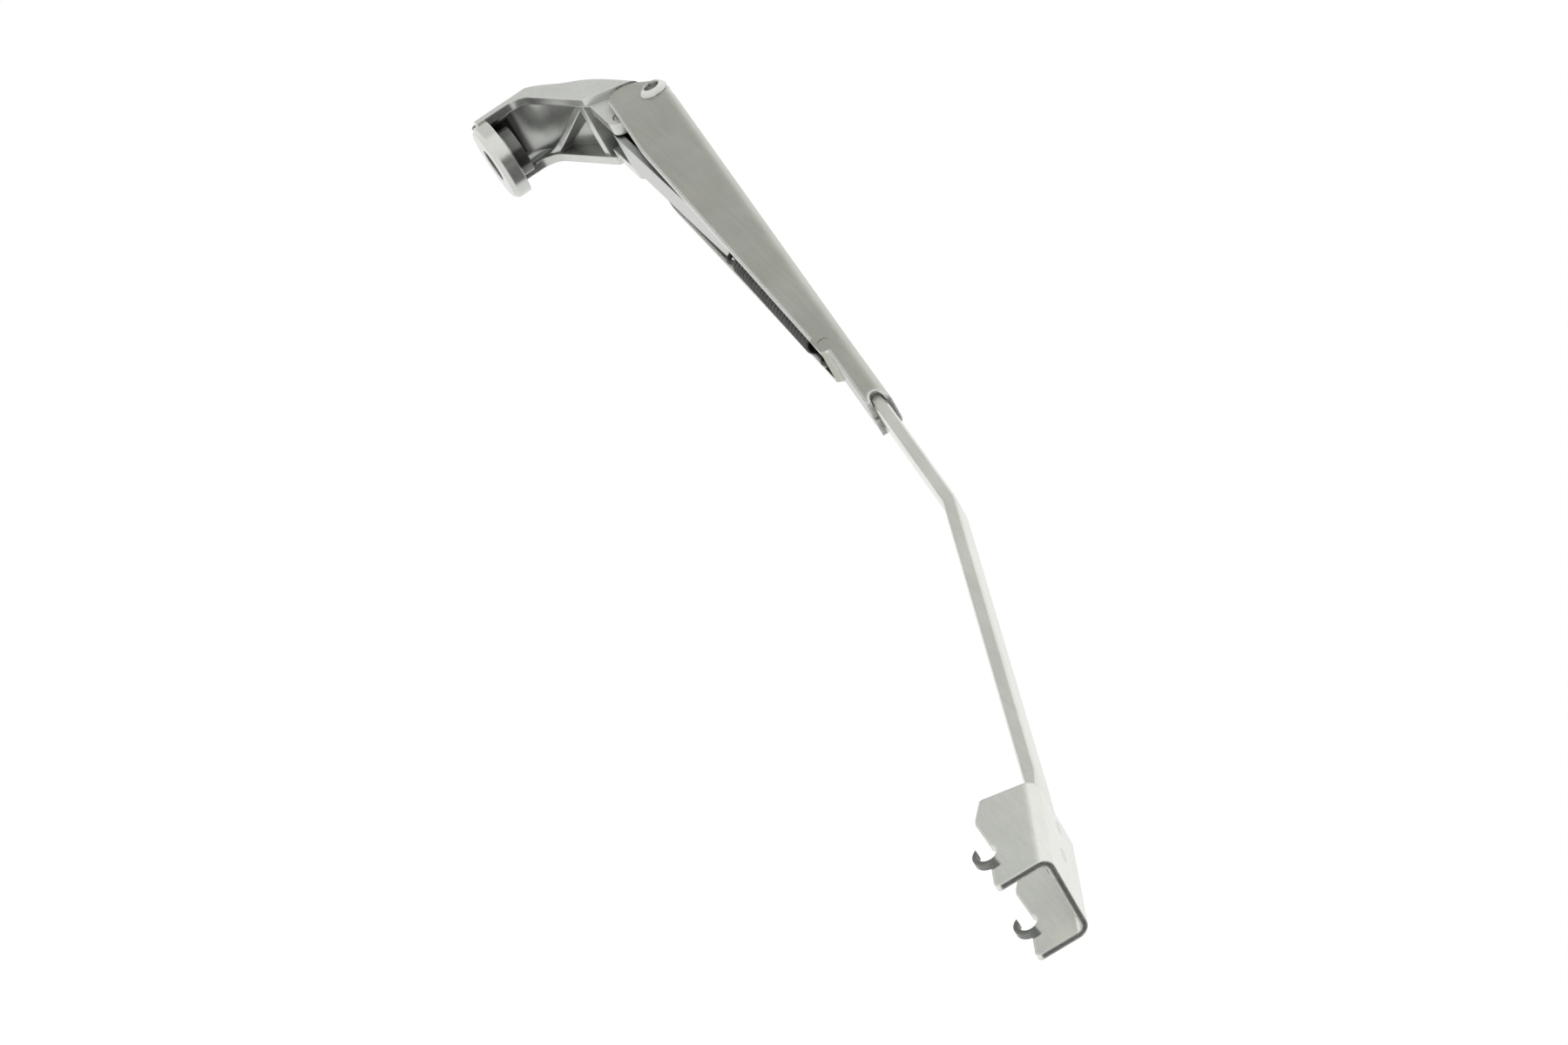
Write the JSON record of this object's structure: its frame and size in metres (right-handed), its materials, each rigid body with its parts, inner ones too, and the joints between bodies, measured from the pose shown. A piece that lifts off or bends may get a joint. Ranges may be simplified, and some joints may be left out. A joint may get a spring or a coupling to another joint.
{
  "type": "windscreen wiper arm",
  "caption": "Sprung windscreen wiper arm with a cast head, folded steel channel, bent flat bar and a riveted saddle for a wiper blade.",
  "frame": {"origin": "on the axis of the spindle bore, halfway up the flat boss", "axes": "+X along the arm to the blade end, +Z away from the glass, Y sideways"},
  "size_m": [0.352, 0.0228, 0.067],
  "materials": {
    "head_alloy": "die-cast, satin",
    "arm_steel": "bright steel, brushed",
    "bar_steel": "bright steel, satin",
    "saddle_steel": "bright steel, satin",
    "pin_steel": "turned steel",
    "link_steel": "rolled steel",
    "latch_steel": "zinc plated",
    "spring_steel": "dark spring wire"
  },
  "bodies": {
    "head": {"head_casting": "head_alloy", "link_pin": "pin_steel"},
    "arm": {"arm_channel": "arm_steel", "hinge_pin": "pin_steel", "spring_anchor_pin": "pin_steel", "rod": "bar_steel", "blade_saddle": "saddle_steel", "saddle_rivets": "pin_steel"},
    "link": {"spring_link": "link_steel", "tension_spring": "spring_steel"},
    "latch": {"retaining_latch": "latch_steel"}
  },
  "joints": [
    {"name": "arm_lift", "type": "hinge", "parent": "head", "child": "arm", "pos_m": [0.0326, 0, 0.0351], "axis": [0, -1, 0], "range_deg": [0, 70], "stiffness_Nm_per_rad": 0.5, "springref_deg": -85.94},
    {"name": "link_swing", "type": "hinge", "parent": "head", "child": "link", "pos_m": [0.031, 0, 0.0255], "axis": [0, -1, 0], "range_deg": [0, 66.9], "deforming": ["tension_spring"]},
    {"name": "latch_slide", "type": "slide", "parent": "head", "child": "latch", "axis": [1, 0, 0], "range_m": [0, 0.002]}
  ],
  "couplings": [
    {"joint": "link_swing", "follows": "arm_lift", "ratio": 0.955}
  ]
}
